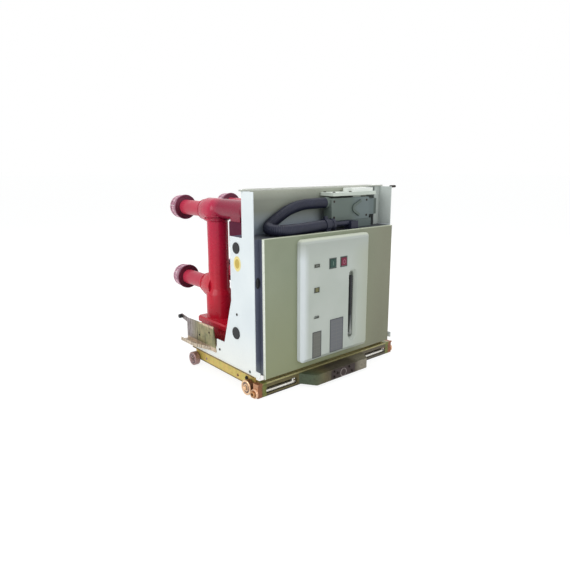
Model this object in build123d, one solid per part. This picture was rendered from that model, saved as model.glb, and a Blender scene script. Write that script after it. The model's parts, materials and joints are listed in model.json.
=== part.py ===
from build123d import *
import math
import os

# Withdrawable indoor vacuum circuit breaker on a four-wheeled truck, in millimetres with +Z up.
# The front faces -Y and the contact arms point to +Y. Below, depths along Y are measured from the
# face of the front cover and heights from the floor; write() moves the origin to the middle.

# Electrical layout
phase_pitch = 210
lower_arm_z = 280
arm_pitch = 275
arm_end = 605
contact_length = 52

# Frame of folded sheet
sheet = 3
half_width = 315
frame_top = 637
wall_rise = 5
plate_foot = 66
plate_front = 25
foot_reach = 2
foot_top = 86
recess_floor = 497
plate_top_depth = 59
wall_face = 117
wall_inset = 31
bar_depth = 8
bar_reach = 9
frame_back = 150
knee_z = 290
toe_y = 197
ledge_z = 136
ledge_back = 244
ledge_low = 108
tail_front = 300
tail_back = 393
deck_top = 100
deck_back = 440

# Front cover and mechanism box
cover_inset = 20
cover_low = 60
cover_high = 500
cover_depth = 10
cover_sheet = 2
box_inset = 25
box_step = 28

# Control panel on the cover
panel_left = -165
panel_right = 150
panel_low = 84
panel_high = 487
panel_depth = 25
panel_corner = 14
panel_bevel = 13
button_z = 401
button_xs = {"close_button": -33.5, "open_button": 17.5}
button_width = 24
button_height = 27
button_proud = 3
button_travel = 4
button_gap = 0.6
pocket_floor = 1.5
moving_gap = 5
window_x = -103.5
windows = {"position_indicator": (401, 25, 12), "spring_indicator": (322, 25, 18),
           "operation_counter": (232, 22, 9)}
window_sink = 1
window_thick = 4

# Charging lever in its upright slot
slot_x = 64.5
slot_low = 126
slot_high = 362
slot_width = 22
slot_bevel = 9
slot_floor = 3
lever_width = 11
lever_thick = 12
lever_pivot_z = 141
lever_pivot_depth = 12.5
lever_top = 347
grip_low = 205
arm_width = 7
pivot_radius = 3

# Poles of cast resin
pole_y = 383
tube_radius = 37.5
foot_radius = 48
band_radius = 43
head_radius = 44
barrel_front = 190
barrel_radius = 34
barrel_z = 565
horn_neck = 430
horn_radius = 38
horn_end = 462
collar = 6
base_half = 50
base_front = 270
base_end = 442
lip = 8
lip_low = 146
lip_high = 166
foot_shoulder = 262
head_low = 519
support_half = 34
support_reach = 112
support_low = 440
support_high = 529
seat_half = 30
seat_front = 200
seat_back = 256
pole_names = ("left", "centre", "right")

# Contact arms and tulip contacts
rod_radius = 24.2
sleeve_radius = 28
grip_radius = 24.5
contact_radius = 47
fingers = 20
finger_gap = 1.6
rod_grip = 18
land_length = 14
seat_gap = 0.3
rod_gap = 0.5

# Truck
truck_top = plate_foot
truck_sheet = 3
truck_inset = 9
truck_low = 21
truck_front = 35
truck_back = 402
flange_reach = 3
wheel_radius = 24.5
wheel_width = 20
wheel_gap = 3
wheel_ys = {"front": 60, "rear": 392}
axle_radius = 6
axle_cap = 3
cap_radius = 9

# Front crossbeam, its drive housing, lead screw and grips
beam_reach = 7
beam_front = 5
beam_back = 29
beam_low = 3
beam_top = 48
slot_inner = 162
slot_end = 34
finger_low = 11
finger_high = 32
nose = 50
nose_half = 121
nose_root = 158
nose_low = 8
nose_top = 44
edge_reach = 3
edge_high = 50
slot_web = 2
screw_z = 24
screw_radius = 9
screw_back = 268
crank_radius = 12
hex_size = 14
nut_front = 40
nut_length = 34
nut_half = 22
guide_inset = 22
guide_width = 5
guide_low = 29
guide_high = 45
guide_back = 280
grip_low_z = 12
grip_high_z = 20
grip_front = 11
grip_back = 21
tongue_radius = 10
tongue_bore = 5
tongue_out = 13
tongue_root = 14
bar_root = 12
tongue_y = 18
tongue_z = 17
grip_travel = 15
bracket_x = 150
bar_inner = 138
tab_gap = 7
tab_width = 5

# Shutter ramps on the rear corners
ramp_front = 247
ramp_crest = 260
ramp_back = 437
ramp_high = 174
ramp_tail = 168
ramp_arm = 16
ramp_sheet = 4
rail_nose = 275
rail_knee = 354
rail_back = 443
rail_low = 86
rail_lip = 12
rail_reach = 28
buffer_y = 474
buffer_z = 167
buffer_radius = 7.5
buffer_length = 12

# Control hose, gland and plug in the recess
hose_diameter = 36
hose_route = [
    (14, 37, 518.5), (-28, 37, 518.5), (-72, 32, 516.6), (-138, 27, 515.4), (-202, 25.5, 515.4),
    (-225, 61.5, 516), (-207, 96.5, 521.5), (-171, 98, 543.5), (-124, 94, 571), (-70, 87, 586),
    (-26, 80, 588), (26, 80, 588),
]
collar_length = 12
neck_radius = 8
gland_left = 100
gland_length = 34
clip_back = 12
clip_width = 20
clip_wall = 3
clip_foot = 16
clip_ear = 8
plug_left = 36
ferrule_lap = 6
plug_inset = 89
socket_inset = 39
plug_low = 526
plug_high = 603
plug_front = 54
plug_back = 92
plug_lid = 12
lid_gap = 7
lid_left = 4
lid_inset = 58
stand_left = 102
stand_inset = 74
hood_left = 114
hood_inset = 64
hood_rise = 12

# Small fittings on the side plates
stud_y = 33
stud_radius = 4.5
stud_reach = 28
bungs = [(115, 463, 18), (125, 186, 20)]
bung_proud = 2.5

plate_back = plate_front + plate_top_depth
wall_top = frame_top + wall_rise
inner_half = half_width - sheet
cover_half = half_width - cover_inset
truck_side = half_width - truck_inset
beam_half = half_width + beam_reach
tongue_reach = beam_half + tongue_out
guide_x = half_width - guide_inset
slot_outer = beam_half - slot_end
rail_out = half_width + rail_reach
stud_out = half_width + stud_reach
plug_right = half_width - plug_inset
middle_y = (arm_end + contact_length - nose) / 2
to_origin = Pos(0, -middle_y, 0)
upper_arm_z = lower_arm_z + arm_pitch
pole_xs = [-phase_pitch, 0, phase_pitch]
sides = {"left": -1, "right": 1}


def write(name, *solids):
    """Write the solids of one node, moved so that the origin is under the middle of the breaker."""
    whole = solids[0] if len(solids) == 1 else Compound(children=list(solids))
    export_step(to_origin * whole, f"parts/{name}.step")


def block(x, y, z):
    """A box given by its lowest and highest value along each axis."""
    centre = Pos((x[0] + x[1]) / 2, (y[0] + y[1]) / 2, (z[0] + z[1]) / 2)
    return centre * Box(x[1] - x[0], y[1] - y[0], z[1] - z[0])


def rod_x(radius, x, y, z):
    """A round bar along X from x[0] to x[1]."""
    return Pos((x[0] + x[1]) / 2, y, z) * Rot(0, 90, 0) * Cylinder(radius, x[1] - x[0])


def rod_y(radius, x, y, z):
    """A round bar along Y from y[0] to y[1]."""
    return Pos(x, (y[0] + y[1]) / 2, z) * Rot(90, 0, 0) * Cylinder(radius, y[1] - y[0])


def turned_y(points, x, z):
    """A solid turned about the line along Y through x, z, from its outline of radius and depth."""
    face = make_face(Polyline([(radius, depth, 0) for radius, depth in points], close=True))
    return Pos(x, 0, z) * revolve(face, Axis.Y)


def side_plate(side):
    outline = [
        (foot_reach, plate_foot), (foot_reach, foot_top), (plate_front, foot_top),
        (plate_front, frame_top), (plate_back, frame_top), (plate_back, recess_floor),
        (frame_back, recess_floor), (frame_back, knee_z), (toe_y, ledge_z), (ledge_back, ledge_z),
        (ledge_back, ledge_low), (tail_front, rail_low + 6), (tail_back, rail_low + 4),
        (tail_back, plate_foot),
    ]
    face = make_face(Plane.YZ * Polyline(outline, close=True))
    plate = Pos(inner_half if side > 0 else -half_width, 0, 0) * extrude(face, sheet, dir=(1, 0, 0))
    for y, z, radius in bungs:
        plate -= rod_x(radius - 3, (-half_width - 1, half_width + 1), y, z)
    return plate


def back_wall():
    """A wall set back between the side plates, returned to their rear edges, under a tie bar."""
    half = half_width - wall_inset
    wall = block((-half, half), (wall_face, wall_face + sheet), (recess_floor, wall_top))
    for side in (-1, 1):
        edge = side * half
        wall += block(sorted((edge, edge - side * sheet)), (plate_back - sheet, wall_face),
                      (recess_floor, wall_top))
        wall += block(sorted((edge - side * sheet, side * inner_half)), (plate_back - sheet, plate_back),
                      (recess_floor, frame_top))
    bar_half = half_width + bar_reach
    return wall + block((-bar_half, bar_half), (plate_back - bar_depth, plate_back), (frame_top, wall_top))


def mechanism_box():
    inner = inner_half
    front = half_width - box_inset
    plan = [
        (-front, cover_sheet), (-front, box_step), (-inner, box_step), (-inner, frame_back),
        (inner, frame_back), (inner, box_step), (front, box_step), (front, cover_sheet),
    ]
    face = make_face(Polyline([(x, y, truck_top) for x, y in plan], close=True))
    return extrude(face, recess_floor - truck_top, dir=(0, 0, 1))


def front_cover():
    pan = block((-cover_half, cover_half), (0, cover_depth), (cover_low, cover_high))
    pan = fillet(pan.faces().sort_by(Axis.Y)[0].edges(), 2.5)
    hollow = block(
        (cover_sheet - cover_half, cover_half - cover_sheet), (cover_sheet, cover_depth),
        (cover_low + cover_sheet, cover_high - cover_sheet),
    )
    return pan - hollow


def upright_slot(width, low, high, near, far):
    """A slot with round ends that runs along Z, cut from the depth near to the depth far."""
    outline = Pos(slot_x, (low + high) / 2) * SlotOverall(high - low, width, rotation=90)
    return extrude(Plane.XZ.offset(-far) * outline, far - near)


def control_bezel():
    width = panel_right - panel_left
    height = panel_high - panel_low
    centre = Pos((panel_left + panel_right) / 2, (panel_low + panel_high) / 2)
    base = Plane.XZ * centre * RectangleRounded(width, height, panel_corner)
    body = extrude(base, panel_depth)
    front = body.faces().sort_by(Axis.Y)[0]
    body = chamfer(front.edges(), panel_bevel * 0.8, panel_bevel)
    for x in button_xs.values():
        half_w = button_width / 2 + button_gap
        half_h = button_height / 2 + button_gap
        body -= block((x - half_w, x + half_w), (-panel_depth - 1, -pocket_floor),
                      (button_z - half_h, button_z + half_h))
    for z, wide, high in windows.values():
        body -= block((window_x - wide / 2, window_x + wide / 2),
                      (-panel_depth - 1, window_sink + window_thick - panel_depth),
                      (z - high / 2, z + high / 2))
    body -= upright_slot(slot_width, slot_low, slot_high, -panel_depth - 1, -slot_floor)
    rim = Pos(slot_x, (slot_low + slot_high) / 2)
    tall = slot_high - slot_low
    outer = Plane.XZ.offset(panel_depth + 0.01) * rim * SlotOverall(
        tall + 2 * slot_bevel, slot_width + 2 * slot_bevel, rotation=90)
    inner = Plane.XZ.offset(panel_depth - slot_bevel) * rim * SlotOverall(tall, slot_width, rotation=90)
    body -= loft([outer.face(), inner.face()])
    pin_hole = rod_x(pivot_radius + seat_gap, (slot_x - slot_width / 2 - 4, slot_x + slot_width / 2 + 4),
                     -lever_pivot_depth, lever_pivot_z)
    return body - pin_hole


def push_button(x):
    cap = block((x - button_width / 2, x + button_width / 2),
                (-panel_depth - button_proud, -pocket_floor - button_travel - moving_gap),
                (button_z - button_height / 2, button_z + button_height / 2))
    return fillet(cap.faces().sort_by(Axis.Y)[0].edges(), 1.5)


def indicator(z, wide, high):
    front = window_sink - panel_depth
    insert = block((window_x - wide / 2, window_x + wide / 2), (front, front + window_thick),
                   (z - high / 2, z + high / 2))
    glass = block((window_x - wide / 2 + 2, window_x + wide / 2 - 2), (front - 1, front + 1),
                  (z - high / 2 + 2, z + high / 2 - 2))
    return insert - glass


def lever_arm():
    low = lever_pivot_z - lever_thick / 2
    arm = block((slot_x - arm_width / 2, slot_x + arm_width / 2),
                (-lever_pivot_depth - lever_thick / 2, -lever_pivot_depth + lever_thick / 2),
                (low, grip_low))
    arm = fillet(arm.faces().sort_by(Axis.Z)[0].edges().filter_by(Axis.X), lever_thick / 2 - 0.1)
    pin = rod_x(pivot_radius, (slot_x - slot_width / 2 - 3, slot_x + slot_width / 2 + 3),
                -lever_pivot_depth, lever_pivot_z)
    return arm + pin


def lever_grip():
    grip = block((slot_x - lever_width / 2, slot_x + lever_width / 2),
                 (-lever_pivot_depth - lever_thick / 2, -lever_pivot_depth + lever_thick / 2),
                 (grip_low, lever_top))
    return fillet(grip.edges().filter_by(Axis.Z) + grip.faces().sort_by(Axis.Z)[-1].edges(), 3)


def pole(x):
    upright = [
        (0, lip_high), (foot_radius, lip_high), (foot_radius, foot_shoulder - 8),
        (foot_radius - 4, foot_shoulder), (tube_radius, foot_shoulder + 14), (tube_radius, head_low),
        (band_radius, head_low + 3), (band_radius, head_low + 8), (band_radius - 3, head_low + 10),
        (band_radius - 3, head_low + 13), (band_radius, head_low + 15), (band_radius, upper_arm_z),
        (0, upper_arm_z),
    ]
    column = revolve(make_face(Plane.XZ * Polyline(upright, close=True)), Axis.Z)
    body = Pos(x, pole_y, 0) * column
    body += Pos(x, pole_y, upper_arm_z) * Sphere(head_radius)
    body += turned_y([(0, barrel_front), (barrel_radius - 6, barrel_front), (barrel_radius, barrel_front + 8),
                      (barrel_radius, pole_y), (0, pole_y)], x, barrel_z)
    groove = horn_end - 9
    ring = [(horn_radius - 2, groove), (horn_radius - 2, groove + 3), (horn_radius, groove + 4),
            (horn_radius, horn_end - 2), (horn_radius - 2, horn_end), (0, horn_end)]
    for root, z in ((head_radius, upper_arm_z), (foot_radius - 1, lower_arm_z)):
        body += turned_y([(0, pole_y), (root, pole_y), (root, horn_neck), (horn_radius, groove - 1)] + ring, x, z)
    foot = block((x - base_half, x + base_half), (base_front, base_end), (deck_top, lip_low + 2))
    foot = fillet(foot.edges().filter_by(Axis.Z), 10)
    rim = block((x - base_half - lip, x + base_half + lip), (base_front - lip, base_end + lip),
                (lip_low, lip_high))
    rim = fillet(rim.edges().filter_by(Axis.Z), 12)
    rim = chamfer(rim.faces().sort_by(Axis.Z)[-1].edges(), 5)
    seat = block((x - seat_half, x + seat_half), (seat_front, seat_back), (support_high, barrel_z))
    return body + foot + rim + seat


def pole_support(x):
    """A moulded block on the back of the mechanism box, under the barrel of the pole's head."""
    body = block((x - support_half, x + support_half), (frame_back, frame_back + support_reach),
                 (support_low, support_high))
    return fillet(body.edges().filter_by(Axis.Z).sort_by(Axis.Y)[-2:], 6)


def contact_arm(x, z):
    return rod_y(rod_radius, x, (horn_end, arm_end + rod_grip), z)


def arm_sleeve(x, z):
    return turned_y([
        (rod_radius, horn_end), (sleeve_radius + 4, horn_end), (sleeve_radius + 4, horn_end + collar),
        (sleeve_radius, horn_end + collar + 3), (sleeve_radius, arm_end - seat_gap),
        (rod_radius, arm_end - seat_gap)], x, z)


def tulip(x, z):
    """A ring of sprung fingers: the roots grip the arm's rod and the lands near the mouth grip the
    stab that the breaker is racked onto. Each finger is one tooth between two radial saw cuts."""
    root = arm_end
    mouth = arm_end + contact_length
    land = mouth - 7 - land_length
    ring = turned_y([
        (rod_radius + seat_gap, root), (contact_radius - 2, root), (contact_radius, root + 2),
        (contact_radius, root + 6), (contact_radius - 4, root + 7), (contact_radius - 5, root + 14),
        (contact_radius - 8, root + 15), (contact_radius - 8, root + 19),
        (contact_radius - 4, root + 20), (contact_radius - 3, land + 2), (contact_radius - 7, land + 3),
        (contact_radius - 7, land + 7), (contact_radius - 3, land + 8), (contact_radius - 4, mouth - 4),
        (contact_radius - 8, mouth), (grip_radius + 5, mouth), (grip_radius, land + land_length),
        (grip_radius, land), (grip_radius + 4, land - 4), (grip_radius + 4, root + rod_grip + 4),
        (rod_radius + seat_gap, root + rod_grip)], x, z)
    saw = block((-finger_gap / 2, finger_gap / 2), (root + 9, mouth + 1), (0, contact_radius + 1))
    cuts = [Pos(x, 0, z) * Rot(0, 360 / fingers * (n + 0.5), 0) * saw for n in range(fingers)]
    return ring - Compound(children=cuts)


def deck():
    inner = inner_half
    outer = block((-inner, inner), (frame_back, deck_back), (truck_top, deck_top))
    hollow = block((sheet - inner, inner - sheet), (frame_back + sheet, deck_back - sheet),
                   (truck_top, deck_top - sheet))
    return outer - hollow


def truck_plate():
    return block((-half_width - flange_reach, half_width + flange_reach), (truck_front - 3, truck_back + 4),
                 (truck_top - truck_sheet, truck_top))


def truck_side_rail(side):
    rail = block((truck_side - truck_sheet, truck_side), (truck_front + truck_sheet, truck_back),
                 (truck_low, truck_top - truck_sheet))
    lower_lip = block((truck_side - 9, truck_side), (truck_front + truck_sheet, truck_back),
                      (truck_low, truck_low + truck_sheet))
    rail += lower_lip
    return rail if side > 0 else mirror(rail, Plane.YZ)


def truck_rail(front):
    inner = truck_side - truck_sheet
    return block((-inner, inner), (front, front + truck_sheet),
                 (truck_low + truck_sheet, truck_top - truck_sheet))


def stub_axle(side, y):
    outer = truck_side + wheel_gap + wheel_width
    end = outer + seat_gap
    pin = rod_x(axle_radius, (truck_side, end), y, wheel_radius)
    cap = rod_x(cap_radius, (end, end + axle_cap), y, wheel_radius)
    spacer = rod_x(cap_radius, (truck_side, truck_side + wheel_gap - seat_gap), y, wheel_radius)
    axle = pin + cap + spacer
    return axle if side > 0 else mirror(axle, Plane.YZ)


def wheel(side, y):
    near = truck_side + wheel_gap
    far = near + wheel_width
    bore = axle_radius + seat_gap
    outline = [
        (bore, near), (wheel_radius - 1.5, near), (wheel_radius, near + 1.5), (wheel_radius, far - 1.5),
        (wheel_radius - 1.5, far), (wheel_radius - 6, far), (wheel_radius - 7.5, far - 3),
        (bore + 7, far - 3), (bore + 6, far), (bore, far),
    ]
    face = make_face(Plane.XY * Polyline([(depth, radius, 0) for radius, depth in outline], close=True))
    disc = Pos(0, y, wheel_radius) * revolve(face, Axis.X)
    return disc if side > 0 else mirror(disc, Plane.YZ)


def crossbeam():
    web = truck_sheet
    beam = block((-beam_half, beam_half), (beam_front, beam_back), (beam_low, beam_top))
    beam -= block((web - beam_half, beam_half - web), (beam_front + web, beam_back + 1),
                  (beam_low + web, beam_top - web))
    for side in (-1, 1):
        wide = slot_outer - slot_inner
        tall = finger_high - finger_low
        outline = Pos(side * (slot_inner + slot_outer) / 2, (finger_low + finger_high) / 2) * RectangleRounded(
            wide, tall, 6)
        beam -= extrude(Plane.XZ.offset(-beam_front - web - 1) * outline, web + 2)
        beam -= rod_x(tongue_radius + seat_gap, sorted((side * (beam_half - web - 1), side * (beam_half + 1))),
                      tongue_y, tongue_z)
        bracket = block(sorted((side * bracket_x, side * (bracket_x - web))), (beam_front + web, beam_back),
                        (beam_low + web, beam_top - web))
        bracket -= block(sorted((side * (bracket_x + 1), side * (bracket_x - web - 1))),
                         (grip_front - rod_gap, grip_back + rod_gap),
                         (grip_low_z - rod_gap, grip_high_z + rod_gap))
        beam += bracket
        beam += block(sorted((side * (slot_inner - 6), side * (slot_outer + 2))),
                      (beam_back - slot_web, beam_back), (beam_low + web, beam_top - web))
    beam += block((-beam_half, beam_half), (beam_front - edge_reach, beam_front), (nose_top, edge_high))
    return beam - rod_y(screw_radius + 3, 0, (beam_front - 1, beam_front + web + 1), screw_z)


def drive_housing():
    plan = [(-nose_root, beam_front), (-nose_half, -nose), (nose_half, -nose), (nose_root, beam_front)]
    face = make_face(Polyline([(x, y, nose_low) for x, y in plan], close=True))
    body = extrude(face, nose_top - nose_low, dir=(0, 0, 1))
    front_edges = body.edges().filter_by(Axis.Z).sort_by(Axis.Y)[:2]
    body = fillet(front_edges, 8)
    body -= rod_y(crank_radius, 0, (-nose - 1, -nose + 22), screw_z)
    return body - rod_y(screw_radius + seat_gap, 0, (-nose + 22, beam_front + 1), screw_z)


def lead_screw():
    thread = rod_y(screw_radius, 0, (-nose + 22, screw_back), screw_z)
    hexagon = Plane.XZ.offset(nose - 8) * Pos(0, screw_z) * RegularPolygon(hex_size / 2, 6, major_radius=False)
    end = extrude(hexagon, -14)
    return thread + end


def guide_bar(side):
    bar = block((guide_x, guide_x + guide_width), (beam_front + truck_sheet, guide_back),
                (guide_low, guide_high))
    return bar if side > 0 else mirror(bar, Plane.YZ)


def screw_nut():
    nut = block((-nut_half, nut_half), (nut_front, nut_front + nut_length),
                (screw_z - 18, truck_top - truck_sheet))
    nut = fillet(nut.faces().sort_by(Axis.Z)[0].edges().filter_by(Axis.Y), 8)
    return nut - rod_y(screw_radius + seat_gap, 0, (nut_front - 1, nut_front + nut_length + 1), screw_z)


def grip(side):
    bar = block((bar_inner, beam_half - bar_root), (grip_front, grip_back), (grip_low_z, grip_high_z))
    tab_x = bracket_x + grip_travel + tab_gap
    tab = block((tab_x, tab_x + tab_width), (grip_front, grip_back), (grip_high_z, finger_high + 6))
    tongue = rod_x(tongue_radius, (beam_half - tongue_root, tongue_reach), tongue_y, tongue_z)
    handle = bar + tab + tongue - rod_x(tongue_bore, (tongue_reach - 8, tongue_reach + 1), tongue_y, tongue_z)
    return handle if side > 0 else mirror(handle, Plane.YZ)


def shutter_ramp(side):
    """An upright plate whose top falls to the rear, on a lipped shelf that tapers to the front."""
    near = half_width
    far = near + ramp_sheet
    outline = [
        (ramp_front, rail_low), (ramp_crest, ramp_high), (ramp_back, ramp_tail),
        (buffer_y + 4, buffer_z + buffer_radius), (buffer_y + buffer_radius, buffer_z),
        (buffer_y, buffer_z - buffer_radius), (ramp_back, ramp_tail - ramp_arm), (ramp_back, rail_low),
    ]
    face = make_face(Plane.YZ * Polyline(outline, close=True))
    ramp = Pos(near, 0, 0) * extrude(face, ramp_sheet, dir=(1, 0, 0))
    shelf = [(near, rail_nose), (far, rail_nose), (rail_out, rail_knee), (rail_out, rail_back), (near, rail_back)]
    lip_plan = [
        (far - 1, rail_nose), (rail_out, rail_knee), (rail_out, rail_back), (rail_out - sheet, rail_back),
        (rail_out - sheet, rail_knee + 1), (far - 1, rail_nose + 9),
    ]
    for plan, tall in ((shelf, ramp_sheet), (lip_plan, rail_lip)):
        flat = make_face(Polyline([(x, y, rail_low) for x, y in plan], close=True))
        ramp += extrude(flat, tall, dir=(0, 0, 1))
    return ramp if side > 0 else mirror(ramp, Plane.YZ)


def ramp_buffer(side):
    near = half_width + ramp_sheet
    roller = rod_x(buffer_radius, (near, near + buffer_length), buffer_y, buffer_z)
    return roller if side > 0 else mirror(roller, Plane.YZ)


def hose_radii(route):
    """The bend at each inner point: as large as 0.45 of its shorter run allows."""
    points = [Vector(p) for p in route]
    radii = []
    for before, here, after in zip(points, points[1:], points[2:]):
        turn = math.radians((here - before).get_angle(after - here))
        shorter = min((here - before).length, (after - here).length)
        radii.append(0.45 * shorter / math.tan(turn / 2))
    return radii


def control_hose():
    radii = hose_radii(hose_route)
    path = FilletPolyline(*hose_route, radius=radii)
    print("hose radii", [round(r) for r in radii], "length", round(path.length))
    section = Plane(origin=path @ 0, z_dir=path % 0) * Circle(hose_diameter / 2)
    tube = sweep(section, path=path)
    print("hose volume ratio", round(tube.volume / (section.area * path.length), 4))
    return tube


def hose_gland():
    """The collar on the hose's end, the thinner cable that leaves it and the block that it enters."""
    x, y, z = hose_route[0]
    collar_ring = rod_x(hose_diameter / 2 + 2, (x, x + collar_length), y, z)
    neck = rod_x(neck_radius, (x + collar_length, gland_left), y, z)
    body = block((gland_left, gland_left + gland_length), (y - 16, y + 18), (recess_floor, plug_low - 1))
    return collar_ring + neck + body


def hose_clip():
    """A saddle clip with an ear, which holds the hose's lower run on the mechanism box."""
    x, y, z = hose_route[0]
    wide = (x - clip_back - clip_width, x - clip_back)
    outer = hose_diameter / 2 + clip_wall
    clip = rod_x(outer, wide, y, z)
    clip += block(wide, (y - clip_foot, y + clip_foot), (recess_floor, z - outer / 2))
    clip += block((wide[0] + 4, wide[1] - 4), (y - 4, y + 4), (z, z + outer + clip_ear))
    return clip - rod_x(hose_diameter / 2 + seat_gap, (wide[0] - 1, wide[1] + 1), y, z)


def control_plug():
    back = plug_back
    body = block((plug_left, plug_right), (plug_front, back), (plug_low, plug_high))
    body = fillet(body.edges().filter_by(Axis.Y), 6)
    x, y, z = hose_route[-1]
    ferrule = rod_x(hose_diameter / 2 + 1, (x, plug_left + ferrule_lap), y, z)
    socket = block((plug_right, half_width - socket_inset), (plug_front + 10, back),
                   (plug_low + 12, plug_high - 8))
    return body + ferrule + socket


def plug_holder():
    """A lid plate over the plug, and the stand that carries the plug on the mechanism box."""
    low = plug_high + lid_gap
    plate = block((plug_left + lid_left, half_width - lid_inset), (plug_front - 6, wall_face), (low, low + plug_lid))
    foot = block((plug_right - 76, plug_right - 36), (plug_front + 8, wall_face), (plug_high, low))
    plate = fillet(plate.edges().filter_by(Axis.Z), 5)
    hood = block((plug_left + hood_left, half_width - hood_inset), (plug_front + 6, wall_face - 4),
                 (low + plug_lid, low + plug_lid + hood_rise))
    stand = block((plug_left + stand_left, half_width - stand_inset), (plug_front + 2, wall_face),
                  (recess_floor, plug_low))
    return plate + foot + hood, stand


def plug_latch():
    path = [(179, 591), (126, 566), (171, 541)]
    line = FilletPolyline([(x, z, 0) for x, z in path], radius=12)
    band = trace(line, 9)
    return extrude(Plane.XZ.offset(-plug_front) * band, 6)


def top_stud():
    return rod_x(stud_radius, (half_width, stud_out), stud_y, frame_top)


def bung(side, y, z, radius):
    cap = rod_x(radius, (half_width, half_width + bung_proud), y, z)
    cap = fillet(cap.faces().sort_by(Axis.X)[-1].edges(), 1.2)
    shank = rod_x(radius - 3, (inner_half, half_width), y, z)
    plug = cap + shank
    return plug if side > 0 else mirror(plug, Plane.YZ)


os.makedirs("parts", exist_ok=True)
for side_name, sign in sides.items():
    write(f"side_plate_{side_name}", side_plate(sign))
    write(f"grip_{side_name}", grip(sign))
    write(f"shutter_ramp_{side_name}", shutter_ramp(sign))
    for end, wheel_y in wheel_ys.items():
        write(f"wheel_{end}_{side_name}", wheel(sign, wheel_y))
write("back_wall", back_wall())
write("mechanism_box", mechanism_box())
write("front_cover", front_cover())
write("control_bezel", control_bezel())
for name, button_x in button_xs.items():
    write(name, push_button(button_x))
for name, (window_z, window_width, window_height) in windows.items():
    write(name, indicator(window_z, window_width, window_height))
write("lever_arm", lever_arm())
write("lever_grip", lever_grip())
for name, x in zip(pole_names, pole_xs):
    write(f"pole_{name}", pole(x))
    write(f"upper_contact_{name}", tulip(x, upper_arm_z))
    write(f"lower_contact_{name}", tulip(x, lower_arm_z))
write("pole_supports", *[pole_support(x) for x in pole_xs])
arms = [(x, z) for x in pole_xs for z in (upper_arm_z, lower_arm_z)]
write("contact_arms", *[contact_arm(x, z) for x, z in arms])
write("arm_sleeves", *[arm_sleeve(x, z) for x, z in arms])
write("deck", deck())
write("truck_plate", truck_plate())
write("truck_sides", *[truck_side_rail(sign) for sign in sides.values()])
write("truck_rail_rear", truck_rail(truck_back - truck_sheet))
write("axles", *[stub_axle(sign, y) for sign in sides.values() for y in wheel_ys.values()])
write("crossbeam", crossbeam())
write("drive_housing", drive_housing())
write("lead_screw", lead_screw())
write("screw_nut", screw_nut())
write("guide_bars", *[guide_bar(sign) for sign in sides.values()])
write("ramp_buffers", *[ramp_buffer(sign) for sign in sides.values()])
write("control_hose", control_hose())
write("hose_gland", hose_gland())
write("hose_clip", hose_clip())
write("control_plug", control_plug())
write("plug_holder", *plug_holder())
write("plug_latch", plug_latch())
write("top_stud", top_stud())
write("bungs", *[bung(sign, *place) for sign in sides.values() for place in bungs])
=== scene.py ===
import json
import math

import bmesh
import bpy
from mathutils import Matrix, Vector


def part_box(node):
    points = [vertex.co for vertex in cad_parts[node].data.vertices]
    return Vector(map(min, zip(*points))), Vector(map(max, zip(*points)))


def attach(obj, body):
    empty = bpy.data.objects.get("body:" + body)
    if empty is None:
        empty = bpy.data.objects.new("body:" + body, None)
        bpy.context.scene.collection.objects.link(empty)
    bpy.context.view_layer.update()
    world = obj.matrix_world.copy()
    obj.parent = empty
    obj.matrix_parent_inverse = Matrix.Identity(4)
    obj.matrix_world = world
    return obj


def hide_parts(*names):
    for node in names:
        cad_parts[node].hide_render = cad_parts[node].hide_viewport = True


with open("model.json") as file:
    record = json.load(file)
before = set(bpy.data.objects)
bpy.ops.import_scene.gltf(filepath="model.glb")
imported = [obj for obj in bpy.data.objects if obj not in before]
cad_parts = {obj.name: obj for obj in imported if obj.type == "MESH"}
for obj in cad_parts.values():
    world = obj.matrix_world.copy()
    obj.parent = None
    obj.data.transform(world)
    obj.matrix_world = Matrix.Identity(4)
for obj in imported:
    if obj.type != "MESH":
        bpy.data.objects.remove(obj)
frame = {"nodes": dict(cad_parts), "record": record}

MM = 0.001
TURN = math.tau
RIGHT, FRONT, BACK, UP = (1, 0, 0), (0, -1, 0), (0, 1, 0), (0, 0, 1)
ROOT = "breaker_frame"
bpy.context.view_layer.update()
nodes = frame["nodes"]
body_of = {n: b for b, names in frame["record"]["behaviour"]["bodies"].items() for n in names}
slot_of = {s["node"]: s["material_slot"] for s in frame["record"]["subparts"]}

# The plane of the front cover's face; depths below are measured from it, as on the drawing.
COVER_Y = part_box("front_cover")[0].y / MM


def at(x, y, z):
    """A point in the row frame from millimetres across, behind the cover's face and above the floor."""
    return Vector((x, y + COVER_Y, z)) * MM


def span(node):
    """A node's lowest and highest corner in the drawing's millimetres."""
    low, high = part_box(node)
    shift = Vector((0, COVER_Y, 0))
    return low / MM - shift, high / MM - shift


def linked(name, data):
    """A new object in the scene that carries the data."""
    holder = bpy.data.objects.new(name, data)
    bpy.context.scene.collection.objects.link(holder)
    return holder


def plain_mesh(holder):
    """An object's evaluated shape as a plain mesh. The object itself is removed."""
    graph = bpy.context.evaluated_depsgraph_get()
    mesh = bpy.data.meshes.new_from_object(holder.evaluated_get(graph), depsgraph=graph)
    bpy.data.objects.remove(holder)
    return mesh


# Camera and control hose come first, because they settle what the frame must hold.

def camera():
    """The camera stands where the photograph's perspective puts it: left of the front and a little above."""
    data = bpy.data.cameras.new("photo_camera")
    data.sensor_width = 36
    data.lens = 32.67
    data.shift_x = -0.0126
    data.shift_y = -0.0140
    data.clip_end = 100
    holder = linked("photo_camera", data)
    holder.location = at(-1209.3, -1196.0, 711.6)
    look = Vector((0.6355, 0.7428, -0.2106))
    holder.rotation_euler = look.to_track_quat("-Z", "Y").to_euler()
    bpy.context.scene.camera = holder


# Colours

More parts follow.
